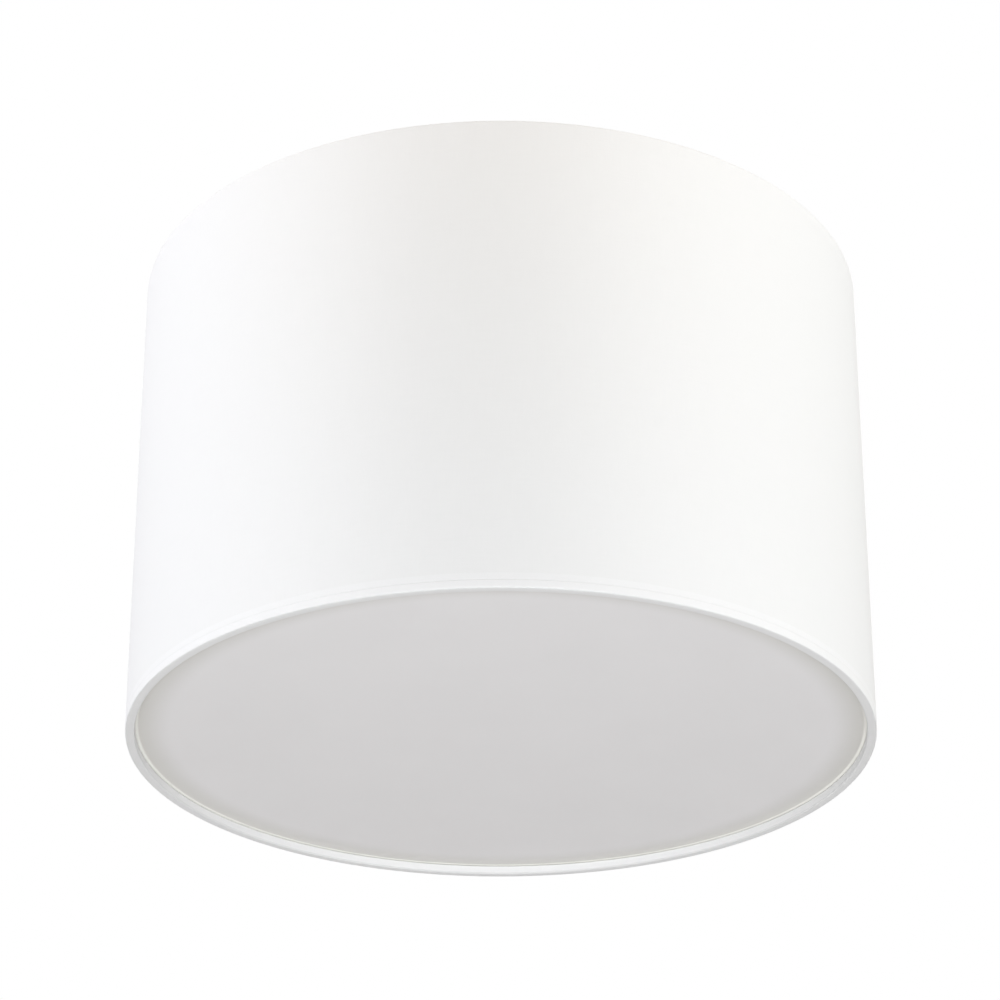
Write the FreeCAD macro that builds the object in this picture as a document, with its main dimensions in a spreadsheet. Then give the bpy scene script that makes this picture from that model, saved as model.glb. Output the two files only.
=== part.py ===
import FreeCAD, Part
import math
import os
import re
import Sketcher

# Flush mount ceiling light with a drum shade, in millimetres.
# The origin is the middle of the ceiling contact plane, +Z points up into the ceiling,
# and the light hangs down to -Z. The two lampholders stand on the Y axis, the ceiling
# crossbar lies along the X axis.

Vector = FreeCAD.Vector
document = FreeCAD.newDocument("ceiling_light")
sheet = document.addObject("Spreadsheet::Sheet", "Sizes")

# Every driving size, by the name that it has in the sheet.
sizes = {
    # Shade
    "drum_diameter": 300,  # outer diameter of the fabric drum
    "shade_height": 200,  # height of the drum from hem to hem
    "ceiling_gap": 4,  # air gap between the top hem and the ceiling
    "ring_wire": 3,  # diameter of the wire of both shade rings
    "cloth_thick": 0.4,  # thickness of the fabric
    "lining_thick": 0.3,  # thickness of the stiff lining behind the fabric
    "hem_clear": 0.2,  # gap between the edge of the lining and the rolled hem
    "diffuser_thick": 2,  # thickness of the opal disc
    "diffuser_clear": 0.7,  # radial gap between the disc and the lining
    "seat_gap": 0.15,  # gap between the disc and the hem that it lies on
    "diffuser_round": 0.5,  # rounded edge of the disc
    # Ceiling pan
    "pan_diameter": 200,  # outer diameter of the ceiling pan
    "pan_depth": 25,  # depth of the ceiling pan
    "pan_sheet": 1,  # sheet thickness of the pan
    "pan_corner": 4,  # outer corner radius of the pan
    # Crossbar
    "strap_length": 134,  # length of the crossbar
    "strap_width": 22,  # width of the crossbar
    "strap_sheet": 1.5,  # sheet thickness of the crossbar
    "strap_drop": 4,  # how far the middle of the crossbar stands off the ceiling
    "foot_length": 19,  # length of each foot of the crossbar
    "strap_corner": 3,  # rounded corners of the crossbar
    "slot_inset": 10,  # from the end of the crossbar to the middle of its slot
    "slot_width": 5,  # width of the ceiling screw slots
    "slot_length": 12,  # length of the ceiling screw slots
    "cable_hole": 14,  # hole for the supply cable
    "cable_offset": 14,  # from the middle of the crossbar to the cable hole
    # Screws, nuts and studs
    "hang_inset": 4,  # from the bend of the crossbar to the middle of each hanging screw
    "screw_four": 4,  # diameter of the M4 screws and studs
    "screw_three": 3,  # diameter of the M3 screw
    "thread_clear": 0.05,  # radial clearance of a nut on its thread
    "hole_clear": 0.25,  # radial clearance of a screw in its hole
    "hanging_length": 25,  # length of the hanging screws under their heads
    "head_width": 8,  # head diameter of the M4 screws
    "head_height": 2.4,  # head height of the M4 screws
    "recess_width": 1.2,  # width of the screwdriver slots
    "recess_depth": 1,  # depth of the screwdriver slots
    "nut_flats": 7,  # M4 nut across flats
    "nut_height": 3.2,  # M4 nut height
    "chamfer_angle": 30,  # slope of the turned corners of the nuts, in degrees
    "acorn_height": 8,  # height of the cap nuts
    "acorn_depth": 5.5,  # thread depth of the cap nuts
    "stud_inset": 13,  # from the wall of the pan to the middle of each shade stud
    "stud_angle": 60,  # angle of the first shade stud from the X axis
    "stud_length": 12,  # length of the shade studs below the pan
    "stud_chamfer": 0.5,  # chamfered end of the shade studs
    "stud_head": 6.4,  # head diameter of the shade studs
    "stud_head_height": 1,  # head height of the shade studs
    # Thumb nuts and washers
    "washer_diameter": 9,  # outer diameter of the washers
    "washer_thick": 0.8,  # thickness of the washers
    "thumb_diameter": 12,  # knurled diameter of the thumb nuts
    "thumb_collar": 9,  # collar diameter of the thumb nuts
    "thumb_collar_height": 3,  # collar height of the thumb nuts
    "thumb_height": 8,  # whole height of the thumb nuts
    "knurl_count": 24,  # grooves round a thumb nut
    "knurl_depth": 0.5,  # depth of the knurl
    # Keyhole ring and spokes
    "plate_inside": 3.4,  # metal from the wide keyholes to the inner edge of the ring
    "plate_outside": 4.4,  # metal from the wide keyholes to the outer edge of the ring
    "plate_thick": 1.2,  # thickness of the keyhole ring
    "keyhole_turn": 14,  # turn of the shade that frees it, in degrees
    "keyhole_clear": 0.3,  # radial clearance of a stud in its slot
    "keyhole_extra": 0.6,  # radial clearance of a thumb nut in its hole
    "spoke_wire": 3.5,  # diameter of the spokes
    "spoke_inset": 9,  # how far a spoke reaches under the keyhole ring
    "spoke_flat": 0.15,  # depth of the weld flat between spoke and keyhole ring
    "spoke_run": 8,  # straight end of a spoke at the top ring
    "spoke_bend": 7,  # bend radius of the spokes
    "notch_clear": 0.6,  # gap beside a spoke in the notch of the hem
    # Terminal block
    "block_offset": 20,  # from the middle of the pan to the middle of the block
    "pole_pitch": 10,  # distance between the poles
    "block_end": 5.5,  # from the outer pole to the end of the block
    "block_width": 16,  # width of the block along its tubes
    "block_height": 12,  # height of the block
    "tube_height": 6,  # from the pan to the middle of a tube
    "tube_outer": 5,  # outer diameter of the brass tubes
    "tube_inner": 3.2,  # inner diameter of the brass tubes
    "tube_recess": 1,  # how far the tubes lie inside the block
    "clamp_diameter": 2.6,  # diameter of the clamping screws
    "clamp_recess": 0.6,  # width of the slots of the clamping screws
    "clamp_spacing": 7,  # distance between the two screws of a pole
    "clamp_sink": 2,  # how deep the clamping screws lie below the top
    "waist_width": 2,  # width of the waists between the poles
    "fixing_head": 5.5,  # head diameter of the M3 fixing screw
    "fixing_head_height": 1.8,  # head height of the M3 fixing screw
    "fixing_length": 14,  # length of the M3 fixing screw
    # Earth
    "earth_clear": 5,  # from the corners of the earth nut to the keyhole ring
    "earth_angle": 222.6,  # direction of the earth screw from the middle, in degrees
    "earth_length": 9,  # length of the earth screw under its head
    "star_diameter": 8,  # outer diameter of the toothed washer
    "star_thick": 0.6,  # thickness of the toothed washer
    "star_teeth": 12,  # teeth of the toothed washer
    "lug_diameter": 8.4,  # outer diameter of the ring lug
    "lug_thick": 0.8,  # sheet thickness of the ring lug
    "lug_barrel": 3.6,  # outer diameter of the lug's barrel
    "lug_reach": 12,  # from the screw to the mouth of the barrel
    "lug_barrel_length": 6,  # length of the barrel
    "lug_angle": 54,  # direction of the barrel from the X axis, in degrees
    # Leads
    "lead_diameter": 2,  # diameter of a single-core lead
    "lead_gap": 0.3,  # gap between the two leads in a nipple
    # Lampholders, measured down from the underside of the pan
    "holder_spacing": 90,  # distance between the two lampholders
    "nipple_outer": 10,  # thread diameter of the hollow nipples
    "nipple_inner": 7,  # bore of the hollow nipples
    "nipple_nut_flats": 14,  # nipple nut across flats
    "nipple_nut_height": 3,  # nipple nut height
    "nipple_rise": 2,  # how far the nipple stands above its nut
    "cap_top": 22,  # diameter of the top of the lampholder's cap
    "cap_neck": 6,  # height of the neck of the cap
    "cap_height": 22,  # height of the cap
    "holder_diameter": 40,  # outer diameter of the lampholder
    "holder_wall": 2,  # wall of the cap and the skirt
    "holder_length": 52,  # whole length of the lampholder
    "collar_length": 5.5,  # length of the threaded collar inside the cap
    "collar_wall": 1.6,  # wall of that collar
    "core_drop": 24,  # from the pan to the underside of the core
    "core_flange": 4.6,  # height of the flange of the core
    "shell_outer": 27.8,  # outer diameter of the metal screw shell
    "shell_sheet": 0.35,  # sheet thickness of the screw shell
    "shell_length": 25,  # length of the screw shell
    "shell_window": 16,  # hole in the top of the screw shell
    "skirt_chamfer": 1,  # chamfered lower edge of the skirt
    "lip_height": 2,  # height of the inner lip of the skirt
    "tongue_width": 5,  # width of the centre contact
    "tongue_sheet": 0.4,  # sheet thickness of the centre contact
    "tongue_half": 5.5,  # from the middle to the foot of the contact
    # Edison screw thread, 27 mm
    "thread_pitch": 3.629,  # pitch of the lamp thread
    "thread_crest": 26.2,  # crest diameter of the bulb's thread
    "thread_root": 24.2,  # root diameter of the bulb's thread
    "thread_minor": 24.7,  # inner crest diameter of the holder's thread
    "thread_start": 48.5,  # from the pan to the lowest turn of the bulb's thread
    "cap_turns": 3.7,  # turns of the bulb's thread
    "shell_turns": 3.2,  # turns of the holder's thread
    "ridge_base": 2.1,  # width of a thread ridge at its base
    "ridge_crest": 0.9,  # width of a thread ridge at its crest
    # Bulbs, measured down from the underside of the pan
    "bulb_top": 27,  # from the pan to the tip contact of the bulb
    "tip_diameter": 9.6,  # diameter of the tip contact
    "tip_height": 1.6,  # height of the tip contact
    "insulator_height": 2.6,  # height of the glass insulator
    "insulator_diameter": 21,  # diameter of the glass insulator
    "cap_length": 25,  # from the tip to the end of the metal cap
    "shoulder_drop": 2,  # height of the sloping shoulder of the metal cap
    "cap_sheet": 0.3,  # sheet thickness of the metal cap
    "neck_gap": 0.1,  # gap between the metal cap and the housing's neck
    "neck_length": 4,  # how far the housing's neck reaches into the cap
    "neck_step": 1,  # how far the housing stands out below the metal cap
    "housing_wall": 1.5,  # wall of the housing
    "housing_length": 40,  # from the metal cap to the globe
    "housing_flare": 14,  # height of the slim part of the housing
    "flare_diameter": 33,  # diameter of the housing where it starts to flare
    "bulb_diameter": 60,  # largest diameter of the bulb
    "board_thick": 1.6,  # thickness of the light-emitting board
    "board_clear": 0.1,  # radial gap between that board and the housing
    "globe_wall": 1.2,  # wall of the opal globe
    "globe_height": 40,  # height of the opal globe
}
for row, (alias, number) in enumerate(sizes.items(), 1):
    sheet.set(f"A{row}", alias.replace("_", " "))
    sheet.set(f"B{row}", str(number))
    sheet.setAlias(f"B{row}", alias)
document.recompute()

# Places that several pieces share, written as sums of the sizes above
DRUM_RADIUS = "drum_diameter / 2"
HEM_ROLL = "(ring_wire / 2 + cloth_thick)"
RING_RADIUS = f"(drum_diameter / 2 - {HEM_ROLL})"
SHADE_TOP = "(-ceiling_gap)"
SHADE_BOTTOM = "(-ceiling_gap - shade_height)"
TOP_RING_Z = f"({SHADE_TOP} - {HEM_ROLL})"
BOTTOM_RING_Z = f"({SHADE_BOTTOM} + {HEM_ROLL})"
PAN_UNDER = "(-pan_depth)"
PAN_FLOOR = "(pan_sheet - pan_depth)"
STRAP_UNDER = "(-strap_drop - strap_sheet)"
STRAP_FOOT = "(strap_length / 2 - foot_length)"
STRAP_BEND = f"({STRAP_FOOT} - strap_drop)"
HANG_X = f"({STRAP_BEND} - hang_inset)"
SCREW_HOLE = "(screw_four / 2 + hole_clear)"
NUT_BORE = "(screw_four / 2 + thread_clear)"
TUBE_Z = f"({PAN_FLOOR} + tube_height)"
PLATE_UNDER = f"({PAN_UNDER} - plate_thick)"
STUD_RADIUS = "(pan_diameter / 2 - stud_inset)"
KEYHOLE = "(thumb_diameter / 2 + keyhole_extra)"
PLATE_INNER = f"({STUD_RADIUS} - {KEYHOLE} - plate_inside)"
PLATE_OUTER = f"({STUD_RADIUS} + {KEYHOLE} + plate_outside)"
EARTH_RADIUS = f"({PLATE_INNER} - earth_clear - nut_flats / 2 / cos(30))"
EARTH_X = f"({EARTH_RADIUS} * cos(earth_angle))"
EARTH_Y = f"({EARTH_RADIUS} * sin(earth_angle))"


def bound(text):
    """The expression with every size name pointed at the sheet."""
    def point(word):
        return f"Sizes.{word.group()}" if word.group() in sizes else word.group()
    return re.sub(r"[a-z][a-z_]*", point, text)


def value(text):
    return float(sheet.evalExpression(bound(text)))


def bind(thing, field, text):
    thing.setExpression(field, bound(text))


def new_body(label, across="0", back="0", up="0", turn="0"):
    """An empty body whose place and turn about Z follow the sheet."""
    body = document.addObject("PartDesign::Body", label)
    body.Label = label
    bind(body, "Placement.Base.x", across)
    bind(body, "Placement.Base.y", back)
    bind(body, "Placement.Base.z", up)
    bind(body, "Placement.Rotation.Angle", turn)
    return body


def new_sketch(body, name, role="XZ_Plane", offset="0"):
    """A sketch on one of the body's own origin planes, moved along its normal."""
    sketch = body.newObject("Sketcher::SketchObject", name)
    plane = next(item for item in body.Origin.OriginFeatures if item.Role == role)
    sketch.AttachmentSupport = [(plane, "")]
    sketch.MapMode = "FlatFace"
    bind(sketch, "AttachmentOffset.Base.z", offset)
    return sketch


def fix_coordinate(sketch, kind, geometry, point, text):
    index = sketch.addConstraint(Sketcher.Constraint(kind, -1, 1, geometry, point, value(text)))
    name = f"{kind[-1].lower()}_{geometry}_{point}"
    sketch.renameConstraint(index, name)
    bind(sketch, f"Constraints.{name}", text)


def fix_point(sketch, geometry, point, across, up):
    """Holds one point of a sketch at two distances from the origin."""
    fix_coordinate(sketch, "DistanceX", geometry, point, across)
    fix_coordinate(sketch, "DistanceY", geometry, point, up)


def outline(sketch, corners):
    """A closed outline of straight lines through corners that follow the sheet."""
    spots = [Vector(value(across), value(up), 0) for across, up in corners]
    first = sketch.GeometryCount
    for start, end in zip(spots, spots[1:] + spots[:1]):
        sketch.addGeometry(Part.LineSegment(start, end), False)
    count = len(corners)
    for index, (across, up) in enumerate(corners):
        follower = first + (index + 1) % count
        sketch.addConstraint(Sketcher.Constraint("Coincident", first + index, 2, follower, 1))
        fix_point(sketch, first + index, 1, across, up)


def circle(sketch, across, up, radius):
    centre = Vector(value(across), value(up), 0)
    index = sketch.addGeometry(Part.Circle(centre, Vector(0, 0, 1), value(radius)), False)
    fix_point(sketch, index, 3, across, up)
    rule = sketch.addConstraint(Sketcher.Constraint("Radius", index, value(radius)))
    sketch.renameConstraint(rule, f"radius_{index}")
    bind(sketch, f"Constraints.radius_{index}", radius)


def hexagon(sketch, flats):
    """A hexagon about the origin with two flats square to the Y axis."""
    corner = f"{flats} / sqrt(3)"
    half = f"{flats} / 2"
    outline(sketch, [
        (corner, "0"), (f"{corner} / 2", half), (f"-{corner} / 2", half),
        (f"-{corner}", "0"), (f"-{corner} / 2", f"-{half}"), (f"{corner} / 2", f"-{half}"),
    ])


def add_feature(body, kind, name, sketch):
    feature = body.newObject(f"PartDesign::{kind}", name)
    feature.Profile = sketch
    return feature


def revolve(body, name, sketch, cut=False, angle="360", clockwise=False):
    """Turns a sketch about its own vertical axis, clockwise seen from above if asked."""
    feature = add_feature(body, "Groove" if cut else "Revolution", name, sketch)
    feature.ReferenceAxis = (sketch, ["V_Axis"])
    feature.Reversed = clockwise
    bind(feature, "Angle", angle)
    return feature


def turned(body, name, corners):
    """A turned piece: an outline of radius and height, revolved about Z."""
    sketch = new_sketch(body, f"{name}_outline")
    outline(sketch, corners)
    return revolve(body, name, sketch)


def pad(body, name, sketch, length, both_sides=False):
    feature = add_feature(body, "Pad", name, sketch)
    bind(feature, "Length", length)
    if both_sides:
        feature.SideType = "Symmetric"
    return feature


def cut_through(body, name, sketch):
    """A pocket that passes through the whole body, both ways from its sketch."""
    document.recompute()
    before = body.Shape.Volume
    feature = add_feature(body, "Pocket", name, sketch)
    feature.SideType = "Symmetric"
    feature.Type = "ThroughAll"
    document.recompute()
    if body.Shape.Volume >= before:
        raise ValueError(f"{body.Label}: {name} cuts nothing")
    return feature


def polar(body, name, features, count, angle="360"):
    """Repeats features about the body's Z axis."""
    pattern = body.newObject("PartDesign::PolarPattern", name)
    axis = next(item for item in body.Origin.OriginFeatures if item.Role == "Z_Axis")
    pattern.Originals = features
    pattern.Axis = (axis, [""])
    bind(pattern, "Angle", angle)
    bind(pattern, "Occurrences", count)
    body.Tip = pattern
    return pattern


def edges_where(body, test):
    """The names of the edges whose middle point and length box pass a test."""
    document.recompute()
    names = []
    for number, edge in enumerate(body.Tip.Shape.Edges, start=1):
        if test(edge):
            names.append(f"Edge{number}")
    return names


def round_edges(body, name, radius, test):
    names = edges_where(body, test)
    if not names:
        raise ValueError(f"{body.Label}: {name} finds no edge")
    solid = body.Tip
    feature = body.newObject("PartDesign::Fillet", name)
    feature.Base = (solid, names)
    bind(feature, "Radius", radius)
    return feature


def ring_edge(radius, height):
    """A test for the circular edge of that radius at that height."""
    def test(edge):
        curve = edge.Curve
        if not isinstance(curve, Part.Circle):
            return False
        return abs(curve.Radius - value(radius)) < 1e-4 and abs(curve.Center.z - value(height)) < 1e-4
    return test


def grouped(label, members):
    """Identical pieces that share one node as separate solids."""
    group = document.addObject("Part::Compound", label)
    group.Label = label
    group.Links = members
    return group


# The crossbar: a steel strap bent like a shallow top hat, feet flat on the ceiling.
def make_crossbar():
    body = new_body("crossbar")
    end = "strap_length / 2"
    foot = STRAP_FOOT
    middle = STRAP_BEND
    knee = "strap_sheet * tan(22.5)"
    right = [
        (end, "0"), (end, "-strap_sheet"), (f"{foot} + {knee}", "-strap_sheet"),
        (f"{middle} + {knee}", STRAP_UNDER),
    ]
    left = [(f"-({across})", up) for across, up in reversed(right)]
    top = [(f"-{foot}", "0"), (f"-{middle}", "-strap_drop"), (middle, "-strap_drop"), (foot, "0")]
    sketch = new_sketch(body, "strap_profile")
    outline(sketch, right + left + top)
    pad(body, "strap", sketch, "strap_width", both_sides=True)

    def upright_end(edge):
        box = edge.BoundBox
        upright = box.ZLength > value("strap_sheet") - 0.01 and box.XLength < 0.01
        return upright and abs(abs(box.Center.x) - value(end)) < 0.01

    round_edges(body, "rounded_ends", "strap_corner", upright_end)
    holes = new_sketch(body, "hole_places", "XY_Plane")
    circle(holes, "cable_offset", "0", "cable_hole / 2")
    circle(holes, HANG_X, "0", NUT_BORE)
    circle(holes, f"-{HANG_X}", "0", NUT_BORE)
    cut_through(body, "holes", holes)
    for side, name in (("", "right"), ("-", "left")):
        slot = new_sketch(body, f"slot_{name}", "XY_Plane")
        slot_outline(slot, f"{side}({end} - slot_inset)")
        cut_through(body, f"slot_cut_{name}", slot)
    return body


def slot_outline(sketch, middle):
    """A slot along the sketch's horizontal axis: two lines and two half circles."""
    radius = value("slot_width / 2")
    reach = value("slot_length / 2 - slot_width / 2")
    centre = value(middle)
    right = Vector(centre + reach, 0, 0)
    left = Vector(centre - reach, 0, 0)
    side = Vector(0, radius, 0)
    quarter = math.pi / 2
    right_end = Part.Circle(right, Vector(0, 0, 1), radius)
    left_end = Part.Circle(left, Vector(0, 0, 1), radius)
    sketch.addGeometry(Part.LineSegment(left + side, right + side), False)
    sketch.addGeometry(Part.ArcOfCircle(right_end, -quarter, quarter), False)
    sketch.addGeometry(Part.LineSegment(right - side, left - side), False)
    sketch.addGeometry(Part.ArcOfCircle(left_end, quarter, 3 * quarter), False)
    for join in ((0, 2, 1, 2), (1, 1, 2, 1), (2, 2, 3, 2), (3, 1, 0, 1)):
        sketch.addConstraint(Sketcher.Constraint("Coincident", *join))
    half = "(slot_length / 2 - slot_width / 2)"
    fix_point(sketch, 0, 1, f"{middle} - {half}", "slot_width / 2")
    fix_point(sketch, 0, 2, f"{middle} + {half}", "slot_width / 2")
    fix_point(sketch, 2, 1, f"{middle} + {half}", "-slot_width / 2")
    fix_point(sketch, 2, 2, f"{middle} - {half}", "-slot_width / 2")
    fix_coordinate(sketch, "DistanceX", 1, 3, f"{middle} + {half}")
    fix_coordinate(sketch, "DistanceX", 3, 3, f"{middle} - {half}")


# A pan head screw that points down, with a straight slot in its head.
def make_screw(label, across, back, up, diameter, length, head_width, head_height):
    body = new_body(label, across, back, up)
    turned(body, "screw", [
        ("0", head_height), (f"{head_width} / 2 - {head_height} / 3", head_height),
        (f"{head_width} / 2", f"{head_height} / 2"), (f"{head_width} / 2", "0"),
        (f"{diameter} / 2", "0"), (f"{diameter} / 2", f"-{length}"), ("0", f"-{length}"),
    ])
    recess = new_sketch(body, "recess_profile")
    half = "recess_width / 2"
    outline(recess, [
        (f"-{half}", head_height), (f"-{half}", f"{head_height} - recess_depth"),
        (half, f"{head_height} - recess_depth"), (half, head_height),
    ])
    cut_through(body, "recess", recess)
    return body


# A hexagon nut that hangs down from its place, with chamfered corners.
def make_nut(label, across, back, up, flats, height, bore):
    body = new_body(label, across, back, up)
    blank = new_sketch(body, "hexagon", "XY_Plane", f"-{height}")
    hexagon(blank, flats)
    pad(body, "blank", blank, height)
    hole = new_sketch(body, "bore_circle", "XY_Plane")
    circle(hole, "0", "0", bore)
    cut_through(body, "bore", hole)
    chamfer_corners(body, flats, "0", f"-{height}")
    return body


def chamfer_corners(body, flats, top, bottom):
    """Turns the sharp corners of a hexagon off at its ends."""
    inner = f"({flats} / 2 - thread_clear)"
    outer = f"({flats} / sqrt(3) + thread_clear)"
    drop = f"({outer} - {inner}) * tan(chamfer_angle)"
    for name, start, sign in (("top", top, "-"), ("bottom", bottom, "+")):
        if start is None:
            continue
        sketch = new_sketch(body, f"corner_{name}")
        outline(sketch, [(inner, start), (outer, start), (outer, f"{start} {sign} {drop}")])
        revolve(body, f"chamfer_{name}", sketch, cut=True)


# The cap nuts: a hexagon with a domed, closed lower end.
def make_acorn(label, across):
    body = new_body(label, across, "0", PAN_UNDER)
    blank = new_sketch(body, "hexagon", "XY_Plane", "-nut_height")
    hexagon(blank, "nut_flats")
    pad(body, "blank", blank, "nut_height")
    dome = new_sketch(body, "dome_outline")
    radius = "(nut_flats / 2 - thread_clear * 3)"
    low = f"(acorn_height - {radius})"
    outline(dome, [("0", "0"), (radius, "0"), (radius, f"-{low}"), ("0", f"-{low}")])
    revolve(body, "dome_base", dome)
    cap = new_sketch(body, "cap_arc")
    quarter_disc(cap, radius, f"-{low}")
    revolve(body, "dome", cap)
    hole = new_sketch(body, "bore_outline")
    outline(hole, [
        ("0", "0"), (NUT_BORE, "0"), (NUT_BORE, "-acorn_depth"), ("0", f"-acorn_depth - {NUT_BORE} / 2"),
    ])
    revolve(body, "bore", hole, cut=True)
    chamfer_corners(body, "nut_flats", "0", None)
    return body


def quarter_disc(sketch, radius, up):
    """A quarter disc below a point on the axis: an arc and two lines."""
    centre = Vector(0, value(up), 0)
    size_now = value(radius)
    rim = centre + Vector(size_now, 0, 0)
    pole = centre - Vector(0, size_now, 0)
    round_curve = Part.Circle(centre, Vector(0, 0, 1), size_now)
    sketch.addGeometry(Part.ArcOfCircle(round_curve, -math.pi / 2, 0), False)
    sketch.addGeometry(Part.LineSegment(rim, centre), False)
    sketch.addGeometry(Part.LineSegment(centre, pole), False)
    for join in ((0, 2, 1, 1), (1, 2, 2, 1), (2, 2, 0, 1), (0, 3, 1, 2)):
        sketch.addConstraint(Sketcher.Constraint("Coincident", *join))
    fix_point(sketch, 1, 2, "0", up)
    fix_point(sketch, 1, 1, radius, up)
    fix_coordinate(sketch, "DistanceX", 2, 2, "0")


# The ceiling pan: a shallow pressed dish, open upwards, with all its punched holes.
def make_pan():
    body = new_body("ceiling_pan")
    outer = "pan_diameter / 2"
    inner = f"({outer} - pan_sheet)"
    turned(body, "dish", [
        ("0", PAN_UNDER), (outer, PAN_UNDER), (outer, "0"),
        (inner, "0"), (inner, PAN_FLOOR), ("0", PAN_FLOOR),
    ])
    round_edges(body, "outer_corner", "pan_corner", ring_edge(outer, PAN_UNDER))
    round_edges(body, "inner_corner", "pan_corner - pan_sheet", ring_edge(inner, PAN_FLOOR))
    holes = new_sketch(body, "hole_places", "XY_Plane")
    circle(holes, HANG_X, "0", SCREW_HOLE)
    circle(holes, f"-{HANG_X}", "0", SCREW_HOLE)
    circle(holes, "0", "holder_spacing / 2", "nipple_outer / 2 + hole_clear")
    circle(holes, "0", "-holder_spacing / 2", "nipple_outer / 2 + hole_clear")
    circle(holes, "pole_pitch / 2 - block_offset", "0", "screw_three / 2 + thread_clear")
    circle(holes, EARTH_X, EARTH_Y, SCREW_HOLE)
    for step in range(3):
        angle = f"(stud_angle + {step} * 120)"
        circle(holes, f"{STUD_RADIUS} * cos({angle})", f"{STUD_RADIUS} * sin({angle})", NUT_BORE)
    cut_through(body, "holes", holes)
    return body


# A stud pressed into the pan, its flat head inside.
def make_stud(label, across, back):
    body = new_body(label, across, back, PAN_FLOOR)
    tip = "(pan_sheet + stud_length)"
    radius = "screw_four / 2"
    turned(body, "stud", [
        ("0", "stud_head_height"), ("stud_head / 2", "stud_head_height"), ("stud_head / 2", "0"),
        (radius, "0"), (radius, f"stud_chamfer - {tip}"), (f"{radius} - stud_chamfer", f"-{tip}"),
        ("0", f"-{tip}"),
    ])
    return body


def stud_place(step):
    angle = f"(stud_angle + {step} * 120)"
    return f"{STUD_RADIUS} * cos({angle})", f"{STUD_RADIUS} * sin({angle})"


# The washer and the knurled nut under one stud.
def make_thumb_washer(step):
    body = new_body(f"thumb_washer_{step + 1}", *stud_place(step), PLATE_UNDER)
    turned(body, "washer", [
        (SCREW_HOLE, "0"), ("washer_diameter / 2", "0"),
        ("washer_diameter / 2", "-washer_thick"), (SCREW_HOLE, "-washer_thick"),
    ])
    return body


def make_thumb_nut(step):
    body = new_body(f"thumb_nut_{step + 1}", *stud_place(step), f"{PLATE_UNDER} - washer_thick")
    collar = "thumb_collar / 2"
    head = "thumb_diameter / 2"
    edge = "knurl_depth"
    turned(body, "turned_blank", [
        (NUT_BORE, "0"), (collar, "0"), (collar, "-thumb_collar_height"),
        (f"{head} - {edge}", "-thumb_collar_height"),
        (head, f"-thumb_collar_height - {edge}"), (head, f"{edge} - thumb_height"),
        (f"{head} - {edge}", "-thumb_height"), (NUT_BORE, "-thumb_height"),
    ])
    groove = new_sketch(body, "knurl_profile", "XY_Plane")
    outline(groove, [
        (f"{head} - knurl_depth", "0"), (f"{head} + knurl_depth", "knurl_depth * 2"),
        (f"{head} + knurl_depth", "-knurl_depth * 2"),
    ])
    knurl = cut_through(body, "knurl_groove", groove)
    polar(body, "knurl", [knurl], "knurl_count")
    return body


# The terminal block, its tubes and its screws. The poles lie along X, the tubes along Y.
def make_terminal_block():
    body = new_body("terminal_block", "-block_offset", "0", PAN_FLOOR)
    half_length = "(pole_pitch + block_end)"
    half_width = "block_width / 2"
    base = new_sketch(body, "base_outline", "XY_Plane")
    outline(base, [
        (half_length, half_width), (f"-{half_length}", half_width),
        (f"-{half_length}", f"-{half_width}"), (half_length, f"-{half_width}"),
    ])
    pad(body, "base", base, "block_height")
    tunnels = new_sketch(body, "tube_holes")
    wells = new_sketch(body, "screw_wells", "XY_Plane", "tube_height")
    for pole in ("-pole_pitch", "0", "pole_pitch"):
        circle(tunnels, pole, "tube_height", "tube_outer / 2")
        for side in ("", "-"):
            circle(wells, pole, f"{side}clamp_spacing / 2", "clamp_diameter / 2 + thread_clear * 2")
    cut_through(body, "tube_cuts", tunnels)
    document.recompute()
    well_cut = add_feature(body, "Pocket", "well_cuts", wells)
    well_cut.Reversed = True
    bind(well_cut, "Length", "block_height")
    fixing = new_sketch(body, "fixing_hole", "XY_Plane")
    circle(fixing, "pole_pitch / 2", "0", "screw_three / 2 + thread_clear * 2")
    cut_through(body, "fixing_cut", fixing)
    half_waist = "waist_width / 2"
    waist_floor = "block_height - clamp_sink"
    for name, place in (("left", "-pole_pitch / 2"), ("right", "pole_pitch / 2")):
        waist = new_sketch(body, f"waist_{name}", "XZ_Plane")
        outline(waist, [
            (f"{place} - {half_waist}", "block_height"), (f"{place} - {half_waist}", waist_floor),
            (f"{place} + {half_waist}", waist_floor), (f"{place} + {half_waist}", "block_height"),
        ])
        cut_through(body, f"waist_cut_{name}", waist)
    return body


def make_terminal_tube(number, pole):
    body = new_body(f"terminal_tube_{number}", f"{pole} - block_offset", "0", TUBE_Z)
    section = new_sketch(body, "tube_section")
    circle(section, "0", "0", "tube_outer / 2")
    circle(section, "0", "0", "tube_inner / 2")
    pad(body, "tube", section, "block_width - tube_recess * 2", both_sides=True)
    wells = new_sketch(body, "thread_places", "XY_Plane")
    for side in ("", "-"):
        circle(wells, "0", f"{side}clamp_spacing / 2", "clamp_diameter / 2 + thread_clear")
    document.recompute()
    cut = add_feature(body, "Pocket", "thread_holes", wells)
    cut.Reversed = True
    bind(cut, "Length", "tube_outer")
    return body


def make_clamp_screw(number, pole, side):
    top = f"{PAN_FLOOR} + block_height - clamp_sink"
    body = new_body(f"clamp_screw_{number}", f"{pole} - block_offset", f"{side}clamp_spacing / 2", top)
    reach = "(block_height - clamp_sink - tube_height - lead_diameter / 2)"
    turned(body, "screw", [
        ("0", "0"), ("clamp_diameter / 2", "0"), ("clamp_diameter / 2", f"-{reach}"), ("0", f"-{reach}"),
    ])
    recess = new_sketch(body, "recess_profile")
    half = "clamp_recess / 2"
    outline(recess, [(f"-{half}", "0"), (f"-{half}", "-recess_depth"), (half, "-recess_depth"), (half, "0")])
    cut_through(body, "recess", recess)
    return body


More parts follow.
